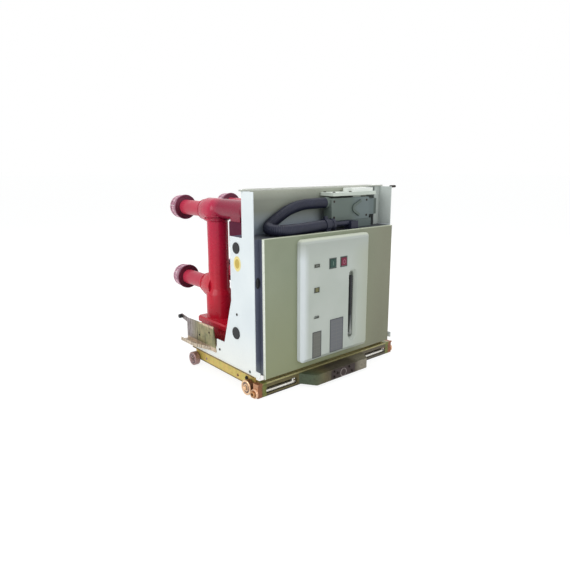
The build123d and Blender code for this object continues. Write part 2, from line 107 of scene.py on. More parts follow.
def linear(code):
    """An sRGB hex value as a linear colour."""
    parts = [int(code[i:i + 2], 16) / 255 for i in (0, 2, 4)]
    return tuple(c / 12.92 if c <= 0.04045 else ((c + 0.055) / 1.055) ** 2.4 for c in parts) + (1.0,)


# Materials: each starts from what the real finish is. Patterns read Object coordinates in metres, so a
# texture scale of 1 / (grain in metres) draws a grain of that size.

def add_node(tree, kind, settings=None, **inputs):
    """Adds one node. settings are its own options; inputs are values or other nodes' outputs."""
    node = tree.nodes.new(kind)
    for key, value in (settings or {}).items():
        setattr(node, key, value)
    for key, value in inputs.items():
        name = key.replace("_", " ")
        socket = node.inputs[int(key[1:])] if key[0] == "i" and key[1:].isdigit() else node.inputs[name]
        if isinstance(value, bpy.types.NodeSocket):
            tree.links.new(value, socket)
        else:
            socket.default_value = value
    return node


def new_material(name):
    """An empty material with its surface shader, and the object's own coordinates."""
    material = bpy.data.materials.new(name)
    material.use_nodes = True
    tree = material.node_tree
    tree.nodes.clear()
    out = tree.nodes.new("ShaderNodeOutputMaterial")
    shader = tree.nodes.new("ShaderNodeBsdfPrincipled")
    tree.links.new(shader.outputs[0], out.inputs[0])
    where = add_node(tree, "ShaderNodeTexCoord").outputs["Object"]
    return material, tree, shader, where


def grain(tree, where, size_mm, detail=2.0, rough=0.5):
    """Noise whose grains have a size in millimetres."""
    return add_node(tree, "ShaderNodeTexNoise", Vector=where, Scale=1 / (size_mm * MM), Detail=detail,
                    Roughness=rough).outputs["Fac"]


def drawn_out(tree, where, sizes_mm):
    """Noise whose grain has its own length along each axis, as rolling or rubbing leaves it."""
    stretched = add_node(tree, "ShaderNodeMapping", i0=where, Scale=tuple(1 / (s * MM) for s in sizes_mm))
    noise = add_node(tree, "ShaderNodeTexNoise", Vector=stretched.outputs[0], Scale=1.0, Detail=3.0)
    return noise.outputs["Fac"]


def between(tree, fac, low, high, to_low, to_high):
    """A value mapped from one range to another, held at its ends."""
    return add_node(tree, "ShaderNodeMapRange", i0=fac, i1=low, i2=high, i3=to_low, i4=to_high).outputs[0]


def tint(tree, fac, first, second):
    """Two colours mixed by a factor."""
    mix = add_node(tree, "ShaderNodeMix", {"data_type": "RGBA"}, i0=fac)
    for socket, colour in ((mix.inputs[6], first), (mix.inputs[7], second)):
        if isinstance(colour, str):
            socket.default_value = linear(colour)
        else:
            tree.links.new(colour, socket)
    return mix.outputs[2]


def past(tree, where, axis, limit, soft):
    """0 before a plane across the part and 1 past it, in the drawing's millimetres. The axis SIDE is the
    distance from the middle, and a negative softness turns the change round."""
    along = add_node(tree, "ShaderNodeSeparateXYZ", Vector=where).outputs["X" if axis == "SIDE" else axis]
    if axis == "SIDE":
        along = add_node(tree, "ShaderNodeMath", {"operation": "ABSOLUTE"}, i0=along).outputs[0]
    index = 0 if axis == "SIDE" else "XYZ".index(axis)
    low, high = at(*[limit - soft / 2] * 3)[index], at(*[limit + soft / 2] * 3)[index]
    return between(tree, along, low, high, 0.0, 1.0)


def zoned(tree, where, base, zones):
    """The base colour with other colours laid over it, each past its own planes."""
    for colour, *planes in zones:
        fac = past(tree, where, *planes[0])
        for plane in planes[1:]:
            fac = add_node(tree, "ShaderNodeMath", {"operation": "MULTIPLY"}, i0=fac,
                           i1=past(tree, where, *plane)).outputs[0]
        base = tint(tree, fac, base, colour)
    return base


def roughened(tree, shader, fac, low, high, smoothest, roughest):
    """Roughness that follows a pattern, from one value of it to another."""
    tree.links.new(between(tree, fac, low, high, smoothest, roughest), shader.inputs["Roughness"])


def bumped(tree, shader, height, depth_mm, strength=1.0):
    bump = add_node(tree, "ShaderNodeBump", Height=height, Distance=depth_mm * MM, Strength=strength)
    tree.links.new(bump.outputs[0], shader.inputs["Normal"])


def powder_coat(name, colour, shade, roughness, zones=()):
    """Powder coat baked on sheet steel: an even colour with a faint orange-peel skin and the slightest
    clouding. The peel is drawn at 2.4 mm, about twice its real size, so that it shows."""
    material, tree, shader, where = new_material(name)
    cloud = between(tree, grain(tree, where, 150), 0.35, 0.7, 0.0, 1.0)
    speck = between(tree, grain(tree, where, 6, 4), 0.5, 0.8, 0.0, 0.3)
    base = zoned(tree, where, tint(tree, cloud, colour, shade), zones)
    tree.links.new(tint(tree, speck, base, shade), shader.inputs["Base Color"])
    peel = grain(tree, where, 2.4, 1)
    roughened(tree, shader, peel, 0.3, 0.7, roughness - 0.04, roughness + 0.06)
    bumped(tree, shader, peel, 0.04)
    return material


def passivated_zinc(name, colour, rainbow, dull, roughness, metallic, patch_mm, zones=(), streak=0.0):
    """Zinc plate with a chromate film: metal whose tint drifts in patches, with fine rubbed scratches and,
    where the plating drained, upright streaks."""
    material, tree, shader, where = new_material(name)
    patch = between(tree, grain(tree, where, patch_mm, 3, 0.6), 0.35, 0.68, 0.0, 1.0)
    bloom = between(tree, grain(tree, where, patch_mm / 3, 4, 0.6), 0.5, 0.75, 0.0, 0.7)
    film = zoned(tree, where, tint(tree, patch, colour, rainbow), zones)
    film = tint(tree, bloom, film, dull)
    if streak:
        run = between(tree, drawn_out(tree, where, (6, 6, 70)), 0.5, 0.66, 0.0, streak)
        film = tint(tree, run, film, dull)
    tree.links.new(film, shader.inputs["Base Color"])
    shader.inputs["Metallic"].default_value = metallic
    roughened(tree, shader, patch, 0, 1, roughness - 0.05, roughness + 0.1)
    bumped(tree, shader, drawn_out(tree, where, (33, 1.1, 1.1)), 0.03, 0.6)
    return material


def turned_steel(name, colour, shade, roughness=0.3):
    """Ground or turned steel: fine marks round the part and a slightly warm oil film."""
    material, tree, shader, where = new_material(name)
    film = between(tree, grain(tree, where, 12, 3), 0.4, 0.7, 0.0, 1.0)
    tree.links.new(tint(tree, film, colour, shade), shader.inputs["Base Color"])
    shader.inputs["Metallic"].default_value = 1.0
    marks = grain(tree, where, 0.8, 2)
    roughened(tree, shader, marks, 0.3, 0.7, roughness - 0.06, roughness + 0.1)
    bumped(tree, shader, marks, 0.02)
    return material


def threaded_steel(name, colour, pitch_mm):
    """A screw of ground steel whose thread shows as turns one pitch apart along its length, darker in the
    groove."""
    material, tree, shader, where = new_material(name)
    along = add_node(tree, "ShaderNodeSeparateXYZ", Vector=where).outputs["Y"]
    phase = add_node(tree, "ShaderNodeMath", {"operation": "MULTIPLY"}, i0=along,
                     i1=TURN / (pitch_mm * MM))
    turn = add_node(tree, "ShaderNodeMath", {"operation": "SINE"}, i0=phase.outputs[0]).outputs[0]
    crest = between(tree, turn, -0.4, 0.4, 0.0, 1.0)
    tree.links.new(tint(tree, crest, "5A5650", colour), shader.inputs["Base Color"])
    shader.inputs["Metallic"].default_value = 1.0
    shader.inputs["Roughness"].default_value = 0.32
    bumped(tree, shader, crest, 1.2)
    return material


def cast_resin(name, colour, shade, roughness, coat, gloss, zones=()):
    """Epoxy cast in a polished mould: deep even colour under a soft clear skin, with barely any flow
    marks."""
    material, tree, shader, where = new_material(name)
    flow = between(tree, grain(tree, where, 70, 2), 0.3, 0.75, 0.0, 1.0)
    tree.links.new(zoned(tree, where, tint(tree, flow, colour, shade), zones), shader.inputs["Base Color"])
    haze = grain(tree, where, 30, 2)
    roughened(tree, shader, haze, 0.3, 0.7, roughness - 0.03, roughness + 0.05)
    shader.inputs["Specular IOR Level"].default_value = gloss
    shader.inputs["Coat Weight"].default_value = coat
    shader.inputs["Coat Roughness"].default_value = 0.12
    bumped(tree, shader, grain(tree, where, 3, 1), 0.012, 0.6)
    return material


def moulded_plastic(name, colour, shade, roughness=0.5, texture_mm=0.9, depth=0.04, zones=()):
    """Injection-moulded ABS or nylon with a spark-eroded grain, drawn a little coarse so that it shows."""
    material, tree, shader, where = new_material(name)
    drift = between(tree, grain(tree, where, 90, 2), 0.35, 0.7, 0.0, 1.0)
    tree.links.new(zoned(tree, where, tint(tree, drift, colour, shade), zones), shader.inputs["Base Color"])
    texture = grain(tree, where, texture_mm, 1)
    roughened(tree, shader, texture, 0.3, 0.7, roughness - 0.05, roughness + 0.08)
    shader.inputs["Specular IOR Level"].default_value = 0.35
    bumped(tree, shader, texture, depth)
    return material


def silvered_copper(name, colour, tarnish_colour, zones=()):
    """Silver-plated copper fingers: bright metal with a rosy tarnish that gathers in patches."""
    material, tree, shader, where = new_material(name)
    tarnish = between(tree, grain(tree, where, 22, 4, 0.6), 0.35, 0.7, 0.0, 1.0)
    film = zoned(tree, where, tint(tree, tarnish, colour, tarnish_colour), zones)
    tree.links.new(film, shader.inputs["Base Color"])
    shader.inputs["Metallic"].default_value = 0.75
    roughened(tree, shader, tarnish, 0, 1, 0.34, 0.5)
    bumped(tree, shader, grain(tree, where, 1.2, 2), 0.02)
    return material


def anodised_foil(name, colour, shade, zones=()):
    """A blank anodised rating plate: satin grey aluminium foil, brushed across."""
    material, tree, shader, where = new_material(name)
    brush = drawn_out(tree, where, (40, 40, 0.7))
    tree.links.new(zoned(tree, where, tint(tree, brush, colour, shade), zones), shader.inputs["Base Color"])
    shader.inputs["Metallic"].default_value = 0.25
    roughened(tree, shader, brush, 0.3, 0.7, 0.42, 0.56)
    bumped(tree, shader, brush, 0.015)
    return material


# How far from the middle the cover's edge folds (painted pale as a highlight) and the back wall's side
# returns begin, in millimetres
COVER_EDGE = 293.6
WALL_RETURN = 284.6

# The finishes. Zones are (colour, (axis, limit, softness), ...) and show where all their planes are passed.
finish = {
    "white_powder_coat": powder_coat("white_polyester_powder_coat", "DFE6E8", "D7DFE2", 0.46, [
        ("E8EBE8", ("Z", 150, -120)),
        # Painted shade: the right side plate's inner side above z 500 is laid grey.
        ("BFC6C1", ("X", 305, 4), ("X", 314.4, -0.5), ("Z", 500, 4))]),
    "sage_powder_coat": powder_coat("sage_grey_polyester_powder_coat", "889079", "818972", 0.5, [
        ("868B6A", ("Z", 250, -320)),
        ("7B7C68", ("X", 130, 260)),
        ("72725C", ("X", 200, 80), ("Z", 240, -240)),
        # Painted highlight: the cover's edge folds past COVER_EDGE are laid pale, and its top above z 498.4
        # lighter, as light from above.
        ("E2E6DA", ("SIDE", COVER_EDGE, 0.4)),
        ("B4BAA4", ("Z", 498.4, 0.4))]),
    # Painted light and shade on the back wall: lighter at the top and on its top edge as light from above, a
    # bluish painted shadow tint below z 546 where the hose's shadow falls, the right return darker, and the
    # right flange's white laid greyer than the left's, all as painted shade.
    "wall_powder_coat": powder_coat("sage_powder_coat_painted_light_and_shade", "8B8F82", "83877B", 0.52, [
        ("9A9F91", ("X", -90, 160)),
        ("B4B7A8", ("Z", 619, 30)),
        ("9AA5AE", ("Z", 546, -50)),
        ("E4E9EA", ("X", -WALL_RETURN, -0.4)),
        ("7E8482", ("X", WALL_RETURN - 4, 0.4)),
        ("B6BDB8", ("X", WALL_RETURN, 0.4)),
        ("BCBEB4", ("Z", 636.8, 0.4))]),
    "dark_enamel": powder_coat("charcoal_baked_enamel", "5A5F72", "525768", 0.5, [
        # Painted shade: the mechanism box's top above z 496.5 is laid dark.
        ("3A3C42", ("Z", 496.5, 0.5)),
        ("8C9298", ("Z", 92, -50)),
        ("42465A", ("Y", 110, 2))]),
    "panel_plastic": moulded_plastic("light_grey_moulded_abs", "B5BBB4", "AEB5AD", 0.46, zones=[
        ("A9AE9E", ("X", 100, 90)),
        # Painted highlight: the panel's left side past x -146 is laid bluish-white, and its top above z 481
        # lighter.
        ("D0D6D8", ("X", -146, -22)),
        ("A9AFA8", ("Z", 446, 50)),
        ("C3C8B8", ("Z", 481, 5)),
        ("BFC4B2", ("X", 143, 4))]),
    "green_button_plastic": moulded_plastic("green_moulded_polycarbonate", "284840", "223E36", 0.45),
    "red_button_plastic": moulded_plastic("red_moulded_polycarbonate", "721C36", "64182E", 0.45),
    "button_surround": moulded_plastic("charcoal_moulded_abs", "4C5652", "444E4A", 0.5),
    "window_plastic": moulded_plastic("dark_window_acrylic", "4E5046", "42443A", 0.3, 4, 0.01),
    "black_plastic": moulded_plastic("black_moulded_nylon", "1D1F21", "25272A", 0.5),
    "screw_steel": threaded_steel("rolled_screw_thread", "B4B0A8", 4),
    "lever_steel": powder_coat("grey_enamelled_steel", "44484A", "3E4244", 0.5, [
        # Painted light: the lever arm is laid lighter grey below z 172.
        ("8E918E", ("Z", 172, -50))]),
    "steel": turned_steel("ground_bright_steel", "A6A49E", "8A857C"),
    "red_epoxy": cast_resin("cast_red_epoxy_resin", "C41A32", "B8162C", 0.27, 0.1, 0.3, [
        ("B41E44", ("Z", 440, 300)),
        # Painted shade: the front of each pole's head above z 519 is laid dark crimson. Painted sheen: the
        # upper arms behind y 415 are laid lighter pink.
        ("861434", ("Y", 352, -50), ("Z", 519, 10)),
        ("B5364C", ("Y", 415, 30), ("Z", 500, 20))]),
    "red_sleeve": cast_resin("red_shrink_sleeve", "BC344C", "B22E46", 0.36, 0.08, 0.3),
    "dark_resin": cast_resin("maroon_moulded_resin", "561230", "4A0E28", 0.42, 0.0, 0.1),
    "silvered_copper": silvered_copper("silver_plated_copper", "DCB4C2", "AE7088", [
        ("6E3C50", ("Y", 609, -3))]),
    "yellow_zinc": passivated_zinc("yellow_chromated_zinc", "D2BA66", "BEB85E", "C48C50", 0.38, 0.4, 24, [
        # Painted light and shade: the truck sides' top edge above z 60 is laid pale cream as a highlight, and
        # their bottom below z 25.5 dark as shade.
        ("EADCA2", ("Z", 60, 2.5)),
        ("6A5E38", ("Z", 25.5, -3)),
        ("5A4A32", ("SIDE", 316, 1))], streak=0.3),
    "bright_zinc": passivated_zinc("clear_chromated_zinc", "9A9068", "8A8A64", "4C4434", 0.4, 0.5, 22, [
        ("988E90", ("Y", 385, 70)),
        ("C9B49C", ("Z", 101, -1)),
        ("CDBDA8", ("SIDE", 321, 1.5), ("Z", 101, -1)),
        ("D8BFA0", ("Z", 166, 3), ("Y", 352, -10))], streak=0.8),
    "olive_zinc": passivated_zinc("olive_chromated_zinc", "645A36", "5C5432", "38342A", 0.46, 0.4, 22, [
        ("4A5642", ("X", -104, -60), ("Y", 1, -4)),
        ("5C5444", ("X", 40, 60)),
        ("453E34", ("SIDE", 70, -50), ("Y", 1, -4)),
        ("827C6C", ("X", 74, 24), ("Y", 1, -4)),
        # Painted light and shade: the beam's top lip above z 45 is laid pale as a highlight, and its bottom
        # below z 6.5 near-black as shade.
        ("A09A6A", ("Z", 45.0, 0.5)),
        ("22201A", ("Z", 6.5, -2)),
        ("8A5638", ("SIDE", 304, 8)),
        ("C08E6C", ("SIDE", 321.5, 0.5)),
        ("6C7034", ("SIDE", 288, 8), ("SIDE", 303, -5))]),
    "copper_zinc": passivated_zinc("bronze_chromated_zinc", "F4D2AA", "E0B48C", "A67656", 0.3, 0.45, 11, [
        # Painted shade: the rear wheels behind y 300 are laid darker and mauve.
        ("6E4A36", ("SIDE", 326.5, -1)), ("9A7C7C", ("Y", 300, 60))]),
    "collar_copper": passivated_zinc("pale_copper_plate", "EEC6A2", "D8A888", "9A7058", 0.28, 0.45, 8),
    "hose_plastic": moulded_plastic("navy_corrugated_nylon", "1B1E2E", "25283B", 0.42, 3, 0.04),
    "plug_plastic": moulded_plastic("grey_green_glass_filled_nylon", "66706A", "5E6A64", 0.5, zones=[
        ("6A7676", ("X", 150, 40)), ("555F5A", ("X", 262, 6))]),
    "holder_plastic": moulded_plastic("pale_green_moulded_nylon", "C8D0C6", "BEC6BC", 0.48, zones=[
        ("5E6A68", ("Z", 560, -2)), ("ECEFEA", ("Z", 622.4, 0.4))]),
    "latch_steel": passivated_zinc("dark_phosphated_steel", "58645E", "5C6862", "4A5650", 0.55, 0.2, 12),
    "grip_zinc": passivated_zinc("bright_zinc_plate", "F0EEE8", "DEDAD0", "A8A290", 0.26, 0.7, 18, [
        ("B88658", ("SIDE", 306, 2)), ("3A2C24", ("SIDE", 327.6, -0.5), ("SIDE", 322.4, 0.5))]),
    "foil": anodised_foil("blank_anodised_foil", "5C5E58", "6A6A64", [("64666A", ("X", -60, 2))]),
    "yellow_film": moulded_plastic("pale_yellow_vinyl_film", "E8D890", "E2D084", 0.45, 2, 0.01),
    "yellow_ink": moulded_plastic("yellow_ink", "C2A84E", "B89C44", 0.45, 2, 0.01),
    "green_print": moulded_plastic("pale_green_print", "647C70", "5C7268", 0.5, 2, 0.01),
    "red_print": moulded_plastic("pale_red_print", "945E6C", "8A5462", 0.5, 2, 0.01),
    "white_print": moulded_plastic("white_screen_print", "B9C4BC", "B0BAB2", 0.5, 2, 0.01),
    "dark_line": moulded_plastic("dark_screen_print", "3E4044", "383A3E", 0.5, 2, 0.01),
    "pale_line": moulded_plastic("pale_screen_print", "73756F", "6D6F69", 0.5, 2, 0.01),
    "spring_wire": turned_steel("bright_spring_wire", "B9A8AE", "A48E98", 0.3),
    "ring_steel": turned_steel("worn_ring_steel", "8A8280", "5E5654", 0.22),
    "dark_steel": turned_steel("black_oxide_steel", "3C3632", "2E2A28", 0.36),
    "spring_flag": moulded_plastic("yellow_flag_plastic", "77754F", "6E6C48", 0.45),
    "state_flag": moulded_plastic("grey_flag_plastic", "6C706A", "646862", 0.45),
    "bearing_plate": passivated_zinc("brown_chromated_zinc", "2E2220", "382826", "1C1614", 0.46, 0.4, 14),
}


# Mesh tools

def solid(name, mesh, finish_name, body=ROOT, replaces=()):
    """Puts a finished mesh in the scene as a piece of one body."""
    if isinstance(mesh, bmesh.types.BMesh):
        bmesh.ops.recalc_face_normals(mesh, faces=mesh.faces)
        data = bpy.data.meshes.new(name)
        mesh.to_mesh(data)
        mesh.free()
    else:
        data = mesh
        data.name = name
    data.materials.clear()
    data.materials.append(finish[finish_name])
    piece = linked(name, data)
    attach(piece, body)
    stands_for = slot_of.get(next(iter(replaces), ""), "steel")
    if replaces:
        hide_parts(*replaces)
    return piece


def smooth_by_angle(mesh, degrees=35):
    """Faces shade smoothly except across edges sharper than the angle."""
    bm = bmesh.new()
    bm.from_mesh(mesh)
    limit = math.radians(degrees)
    for face in bm.faces:
        face.smooth = True
    for edge in bm.edges:
        edge.smooth = len(edge.link_faces) == 2 and edge.calc_face_angle(0) < limit
    bm.to_mesh(mesh)
    bm.free()


def softened(piece, width_mm):
    """Rounds a piece's sharp edges, as paint and moulding do."""
    bevel = piece.modifiers.new("rounded_edges", "BEVEL")
    bevel.width = width_mm * MM
    bevel.segments = 2
    bevel.limit_method = "ANGLE"
    bevel.angle_limit = math.radians(35)
    bevel.harden_normals = True
    return piece


def dressed(node, finish_name=None, edge_mm=0.8, angle=35):
    """The node's own shape as a finished piece: triangles joined, curved faces smooth, edges rounded."""
    bm = bmesh.new()
    bm.from_mesh(nodes[node].data)
    bmesh.ops.remove_doubles(bm, verts=bm.verts, dist=0.002 * MM)
    bmesh.ops.dissolve_limit(bm, angle_limit=math.radians(0.4), verts=bm.verts, edges=bm.edges)
    piece = solid(f"{node}_finished", bm, finish_name or slot_of[node], body_of[node], [node])
    smooth_by_angle(piece.data, angle)
    return softened(piece, edge_mm) if edge_mm else piece


def block_mesh(bm, low, high):
    """Adds a box between two corners given in the drawing's millimetres."""
    low, high = at(*low), at(*high)
    for v in bmesh.ops.create_cube(bm, size=1.0)["verts"]:
        v.co = Vector([(low[i] + high[i]) / 2 + v.co[i] * (high[i] - low[i]) for i in range(3)])


def lathe_mesh(bm, profile, centre, axis, steps=48):
    """Adds a closed solid turned about a line: profile is (radius, distance along) in millimetres."""
    turn = Vector((0, 0, 1)).rotation_difference(Vector(axis)).to_matrix()
    angles = [TURN * k / steps for k in range(steps)]
    rings = []
    for radius, along in profile:
        if radius < 1e-6:
            rings.append([bm.verts.new(centre + turn @ Vector((0, 0, along * MM)))])
            continue
        circle = [(radius * MM * math.cos(a), radius * MM * math.sin(a)) for a in angles]
        rings.append([bm.verts.new(centre + turn @ Vector((x, y, along * MM))) for x, y in circle])
    for first, second in zip(rings, rings[1:] + rings[:1]):
        if len(first) == 1 and len(second) == 1:
            continue
        for k in range(steps):
            corners = (first[k % len(first)], first[(k + 1) % len(first)],
                       second[(k + 1) % len(second)], second[k % len(second)])
            corners = list(dict.fromkeys(corners))
            if len(corners) > 2:
                bm.faces.new(corners)


def lathe(name, profile, centre, axis, finish_name, body=ROOT, steps=48):
    bm = bmesh.new()
    lathe_mesh(bm, profile, centre, axis, steps)
    piece = solid(name, bm, finish_name, body)
    smooth_by_angle(piece.data)
    return piece


# What repeats is set out by Geometry Nodes

def start_tree(name, *sockets):
    """A geometry tree with its named inputs; gives the tree and the inputs' outputs."""
    tree = bpy.data.node_groups.new(name, "GeometryNodeTree")
    kinds = {"Geometry": "Geometry", "Pattern": "Object", "Finish": "Material", "Count": "Int"}
    for label in ("Geometry", *sockets):
        kind = "NodeSocket" + kinds.get(label, "Float")
        tree.interface.new_socket(label, in_out="INPUT", socket_type=kind)
    tree.interface.new_socket("Geometry", in_out="OUTPUT", socket_type="NodeSocketGeometry")
    return tree, add_node(tree, "NodeGroupInput").outputs


def end_tree(tree, geometry, material):
    real = add_node(tree, "GeometryNodeRealizeInstances", i0=geometry)
    coated = add_node(tree, "GeometryNodeSetMaterial", Geometry=real.outputs[0], Material=material)
    out = tree.nodes.new("NodeGroupOutput")
    tree.links.new(coated.outputs[0], out.inputs[0])
    return tree


def set_out_tree():
    """Stands one copy of a pattern on each point, turned to that point's own facing. Spin turns each copy
    about its own axis by up to that angle, as screws end up."""
    tree, given = start_tree("set_out_on_points", "Pattern", "Spin", "Finish")
    facing = add_node(tree, "GeometryNodeInputNamedAttribute", {"data_type": "FLOAT_VECTOR"}, Name="facing")
    turn = add_node(tree, "FunctionNodeAlignRotationToVector", {"axis": "Z"}, Vector=facing.outputs[0])
    chance = add_node(tree, "FunctionNodeRandomValue", {"data_type": "FLOAT"}, Seed=11)
    angle = add_node(tree, "ShaderNodeMath", {"operation": "MULTIPLY"}, i0=chance.outputs[1],
                     i1=given["Spin"])
    own = add_node(tree, "ShaderNodeCombineXYZ", Z=angle.outputs[0])
    local = add_node(tree, "FunctionNodeRotateRotation", {"rotation_space": "LOCAL"},
                     i0=turn.outputs[0], i1=own.outputs[0])
    shape = add_node(tree, "GeometryNodeObjectInfo", Object=given["Pattern"])
    stood = add_node(tree, "GeometryNodeInstanceOnPoints", Points=given["Geometry"],
                     Instance=shape.outputs["Geometry"], Rotation=local.outputs[0])
    return end_tree(tree, stood.outputs[0], given["Finish"])


def garter_tree():
    """A coil spring closed into a ring about each point's depth axis: turns of wire set round a circle."""
    tree, given = start_tree("garter_springs", "Pattern", "Radius", "Count", "Finish")
    circle = add_node(tree, "GeometryNodeCurvePrimitiveCircle", Resolution=given["Count"],
                      Radius=given["Radius"])
    spots = add_node(tree, "GeometryNodeCurveToPoints", Curve=circle.outputs[0], Count=given["Count"])
    turn = add_node(tree, "FunctionNodeAlignRotationToVector", {"axis": "Z"}, Vector=spots.outputs["Tangent"])
    shape = add_node(tree, "GeometryNodeObjectInfo", Object=given["Pattern"])
    coil = add_node(tree, "GeometryNodeInstanceOnPoints", Points=spots.outputs[0],
                    Instance=shape.outputs["Geometry"], Rotation=turn.outputs[0])
    upright = add_node(tree, "GeometryNodeTransform", Geometry=coil.outputs[0],
                       Rotation=(math.radians(90), 0, 0))
    stood = add_node(tree, "GeometryNodeInstanceOnPoints", Points=given["Geometry"],
                     Instance=upright.outputs[0])
    return end_tree(tree, stood.outputs[0], given["Finish"])


def run_tree(name, source, tree, inputs, finish_name, body, angle=35):
    """Runs a tree on a mesh, keeps its result as a plain mesh and removes the rest."""
    holder = linked(name + "_source", source)
    modifier = holder.modifiers.new(name, "NODES")
    modifier.node_group = tree
    for item in tree.interface.items_tree:
        if item.in_out == "INPUT" and item.name in inputs:
            modifier[item.identifier] = inputs[item.name]
    piece = solid(name, plain_mesh(holder), finish_name, body)
    smooth_by_angle(piece.data, angle)
    return piece


def set_out(name, places, pattern, finish_name, body=ROOT, tree=None, angle=35, **inputs):
    """Copies of a pattern at places, which are (x, y, z, facing) in the drawing's millimetres."""
    points = bpy.data.meshes.new(name + "_points")
    points.from_pydata([at(*p[:3]) for p in places], [], [])
    facing = points.attributes.new("facing", "FLOAT_VECTOR", "POINT")
    for k, place in enumerate(places):
        facing.data[k].vector = place[3]
    shape = bpy.data.meshes.new(name + "_pattern")
    bmesh.ops.recalc_face_normals(pattern, faces=pattern.faces)
    pattern.to_mesh(shape)
    pattern.free()
    model = linked(name + "_pattern", shape)
    given = {"Pattern": model, "Spin": 0.0, "Finish": finish[finish_name], **inputs}
    piece = run_tree(name, points, tree or set_out_on_points, given, finish_name, body, angle)
    bpy.data.objects.remove(model)
    return piece


def hex_head(across, height, washer):
    """A hexagon head on its washer, along +Z from the surface it clamps, with a chamfered top."""
    bm = bmesh.new()
    lathe_mesh(bm, [(0, 0), (across * 0.78, 0), (across * 0.78, washer * 0.7), (across * 0.72, washer),
                    (0, washer)], Vector(), UP, 20)
    corner, top = across / math.sqrt(3), washer + height
    lathe_mesh(bm, [(0, washer), (corner, washer), (corner, washer + height * 0.8), (corner * 0.84, top),
                    (0, top)], Vector(), UP, 6)
    return bm


def pan_head(radius, height):
    """A domed screw head with a sunk drive."""
    bm = bmesh.new()
    lathe_mesh(bm, [(0, 0), (radius, 0), (radius, height * 0.35), (radius * 0.8, height * 0.8),
                    (radius * 0.45, height), (radius * 0.3, height), (radius * 0.12, height * 0.45),
                    (0, height * 0.4)], Vector(), UP, 16)
    return bm


def ring(radius, wire, steps=10, sides=5):
    """One closed turn of wire lying across +Z."""
    bm = bmesh.new()
    around = [TURN * s / sides for s in range(sides)]
    profile = [(radius + wire * math.cos(a), wire * math.sin(a)) for a in around]
    lathe_mesh(bm, profile, Vector(), UP, steps)
    return bm


set_out_on_points = set_out_tree()
garter_springs = garter_tree()

# Places on the drawing that several pieces share, in its millimetres
SIDES = {"left": -1, "right": 1}
POLES = {"left": -210, "centre": 0, "right": 210}
ARM_Z = {"upper": 555, "lower": 280}
WHEEL_Y = {"front": 60, "rear": 392}
AXLE_Z = 24.5
PANEL_Y = span("control_bezel")[0].y
PLATE_X = span("side_plate_right")[1].x


def both_sides(x, *places):
    """Places (y, z) on the left and the right, x millimetres from the middle and facing outwards."""
    return [(sign * x, y, z, (sign, 0, 0)) for sign in SIDES.values() for y, z in places]


# Folded sheet frame

def sheet_frame():
    for side in SIDES:
        dressed(f"side_plate_{side}", edge_mm=0.7)
    dressed("back_wall", "wall_powder_coat", edge_mm=0.8)
    dressed("deck", edge_mm=1.0)
    dressed("mechanism_box", edge_mm=1.0)
    dressed("front_cover", edge_mm=0)
    dressed("bungs", edge_mm=0.4)
    dressed("top_stud", "dark_steel", edge_mm=0.8)
    screws = both_sides(PLATE_X, (119, 249), (226, 103))
    set_out("side_plate_screws", screws, pan_head(4.2, 2.4), "dark_steel", Spin=TURN)
    set_out("plate_foot_bolts", both_sides(PLATE_X, (54, 76)), pan_head(5, 2), "latch_steel", Spin=TURN)
    back = span("mechanism_box")[1].y
    rear = [(x, back, z, BACK) for z in (122, 300, 478) for x in (-300, -105, 105, 300)]
    set_out("rear_cover_screws", rear, pan_head(4.5, 2.6), "steel", Spin=TURN)


def oval(bm, centre, out, half_across, half_up, profile):
    """Adds a low oval pad: profile is (share of the outline, height above the face in millimetres)."""
    out = Vector(out)
    across = Vector((out.y, out.x, 0))
    steps = 48
    rings = [[bm.verts.new(centre + (out * lift + (across * half_across * math.cos(a)
                                                   + Vector((0, 0, half_up)) * math.sin(a)) * share) * MM)
              for a in (TURN * k / steps for k in range(steps))] for share, lift in profile]
    bm.faces.new(rings[0])
    bm.faces.new(rings[-1])
    for first, second in zip(rings, rings[1:]):
        for k in range(steps):
            bm.faces.new((first[k], first[(k + 1) % steps], second[(k + 1) % steps], second[k]))


def recess_grommets():
    """A dark domed grommet in each front recess of the mechanism box, where the control wires pass."""
    for side, sign in SIDES.items():
        bm = bmesh.new()
        dome = [(1, 0), (1, 1.2), (0.86, 2.8), (0.5, 3.8), (0.1, 4)]
        oval(bm, at(sign * 299, 28, 364), FRONT, 7.5, 17, dome)
        grommet = solid(f"recess_grommet_{side}", bm, "black_plastic")
        smooth_by_angle(grommet.data, 60)


def stickers():
    """A plain yellow oval film with a deeper yellow centre on each side plate, with nothing printed on it."""
    thick = 0.3
    parts = (("film", "yellow_film", 1, 0), ("centre", "yellow_ink", 0.62, thick))
    for side, sign in SIDES.items():
        for part, finish_name, share, lift in parts:
            bm = bmesh.new()
            oval(bm, at(sign * PLATE_X, 111, 414), (sign, 0, 0), 19 * share, 24 * share,
                 [(1, lift), (1, lift + thick)])
            solid(f"sticker_{part}_{side}", bm, finish_name)


# Control panel

def border(name, low, high, inner, outer, depths, finish_name):
    """Four strips on the panel round a rectangle (x, z), from inner to outer millimetres beyond its edges.
    depths are measured in front of the panel."""
    (x0, z0), (x1, z1) = low, high
    bm = bmesh.new()
    for a, b in (((x0 - outer, z0 - outer), (x1 + outer, z0 - inner)),
                 ((x0 - outer, z1 + inner), (x1 + outer, z1 + outer)),
                 ((x0 - outer, z0 - inner), (x0 - inner, z1 + inner)),
                 ((x1 + inner, z0 - inner), (x1 + outer, z1 + inner))):
        block_mesh(bm, (a[0], PANEL_Y - depths[1], a[1]), (b[0], PANEL_Y - depths[0], b[1]))
    solid(name, bm, finish_name)


